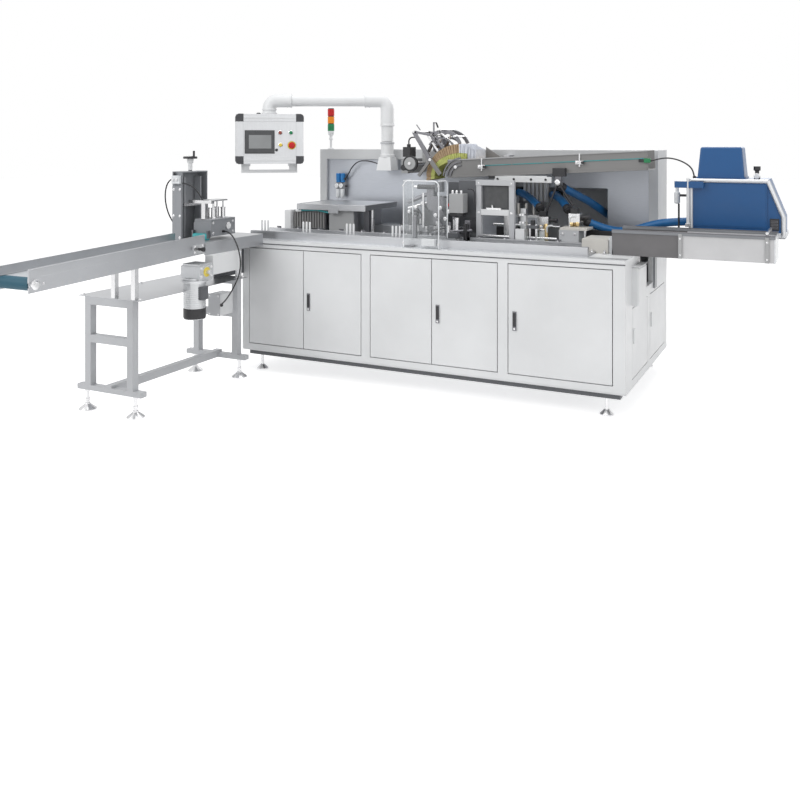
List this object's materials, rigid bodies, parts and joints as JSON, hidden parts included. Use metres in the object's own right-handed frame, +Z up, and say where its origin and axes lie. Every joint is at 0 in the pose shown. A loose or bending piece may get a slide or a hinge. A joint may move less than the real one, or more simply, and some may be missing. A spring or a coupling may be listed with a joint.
{
  "type": "tissue box packing machine",
  "caption": "Horizontal cartoner for tissue boxes, with a carton blank chute, glue unit, screen on a swing arm and discharge conveyor.",
  "frame": {"origin": "on the floor, under the middle of the whole machine", "axes": "+Z up, -Y towards the operator, +X from the discharge end towards the infeed end"},
  "size_m": [3.8081, 3.3312, 1.918],
  "materials": {
    "white_paint": "satin",
    "grey_paint": "satin",
    "blue_paint": "satin",
    "stainless": "brushed",
    "bright_steel": "polished",
    "aluminium": "anodised",
    "black_plastic": "matt",
    "belt": "matt",
    "clear_sheet": "clear",
    "carton": "matt"
  },
  "bodies": {
    "root": {"underframe": "grey_paint", "cabinet_floor": "stainless", "cabinet_feet": "bright_steel", "front_frame": "white_paint", "left_end": "white_paint", "right_end": "white_paint", "back_panel": "white_paint", "partitions": "white_paint", "deck_plate": "white_paint", "side_cover": "white_paint", "rear_housing": "white_paint", "rear_panel": "stainless", "arm_post": "white_paint", "signal_light": "black_plastic", "air_unit": "blue_paint", "table_top": "stainless", "table_base": "stainless", "lane_rails": "stainless", "lane_chain": "black_plastic", "conveyor_frame": "stainless", "conveyor_belt": "belt", "conveyor_guides": "stainless", "head_frame": "stainless", "head_bracket": "grey_paint", "stand_frame": "stainless", "stand_feet": "bright_steel", "stand_posts": "bright_steel", "gearmotor": "aluminium", "drive_guard": "white_paint", "junction_box": "white_paint", "tower_frame": "grey_paint", "press_head": "grey_paint", "press_bracket": "stainless", "blank_chute": "grey_paint", "chute_brackets": "stainless", "blank_stack": "carton", "feeder_head": "stainless", "clear_guard": "clear_sheet", "arch_frame": "grey_paint", "infeed_trough": "grey_paint", "glue_bracket": "grey_paint", "glue_unit": "blue_paint", "glue_tank": "blue_paint"},
    "door_1_left": {"door_1_left": "white_paint"},
    "door_1_right": {"door_1_right": "white_paint"},
    "door_2_left": {"door_2_left": "white_paint"},
    "door_2_right": {"door_2_right": "white_paint"},
    "door_3": {"door_3": "white_paint"},
    "side_door_front": {"side_door_front": "white_paint"},
    "side_door_rear": {"side_door_rear": "white_paint"},
    "screen_arm": {"swing_arm": "white_paint"},
    "screen_head": {"screen_box": "aluminium", "screen_face": "black_plastic", "screen_handle": "bright_steel"},
    "press_wheel": {"tower_wheel": "black_plastic"}
  },
  "joints": [
    {"name": "door_1_left_hinge", "type": "hinge", "parent": "root", "child": "door_1_left", "pos_m": [-1.45294, 0.29558, 0.513], "axis": [0, 0, 1], "range_deg": [-55, 0]},
    {"name": "door_1_right_hinge", "type": "hinge", "parent": "root", "child": "door_1_right", "pos_m": [-0.57394, 0.29558, 0.513], "axis": [0, 0, 1], "range_deg": [0, 110]},
    {"name": "door_2_left_hinge", "type": "hinge", "parent": "root", "child": "door_2_left", "pos_m": [-0.51194, 0.29558, 0.513], "axis": [0, 0, 1], "range_deg": [-110, 0]},
    {"name": "door_2_right_hinge", "type": "hinge", "parent": "root", "child": "door_2_right", "pos_m": [0.35506, 0.29558, 0.513], "axis": [0, 0, 1], "range_deg": [0, 110]},
    {"name": "door_3_hinge", "type": "hinge", "parent": "root", "child": "door_3", "pos_m": [1.04206, 0.29558, 0.513], "axis": [0, 0, 1], "range_deg": [0, 110]},
    {"name": "side_door_front_hinge", "type": "hinge", "parent": "root", "child": "side_door_front", "pos_m": [1.11206, 0.95058, 0.3915], "axis": [0, 0, 1], "range_deg": [0, 100]},
    {"name": "side_door_rear_hinge", "type": "hinge", "parent": "root", "child": "side_door_rear", "pos_m": [1.11206, 1.57058, 0.3915], "axis": [0, 0, 1], "range_deg": [0, 100]},
    {"name": "arm_swivel", "type": "hinge", "parent": "root", "child": "screen_arm", "pos_m": [-0.87294, 1.25558, 1.567], "axis": [0, 0, 1], "range_deg": [-12, 75]},
    {"name": "screen_swivel", "type": "hinge", "parent": "screen_arm", "child": "screen_head", "pos_m": [-1.67577, 0.86228, 1.776], "axis": [0, 0, 1], "range_deg": [-40, 40]},
    {"name": "press_wheel_screw", "type": "hinge", "parent": "root", "child": "press_wheel", "pos_m": [-1.63294, -0.10692, 1.375], "axis": [0, 0, 1], "continuous": true}
  ]
}
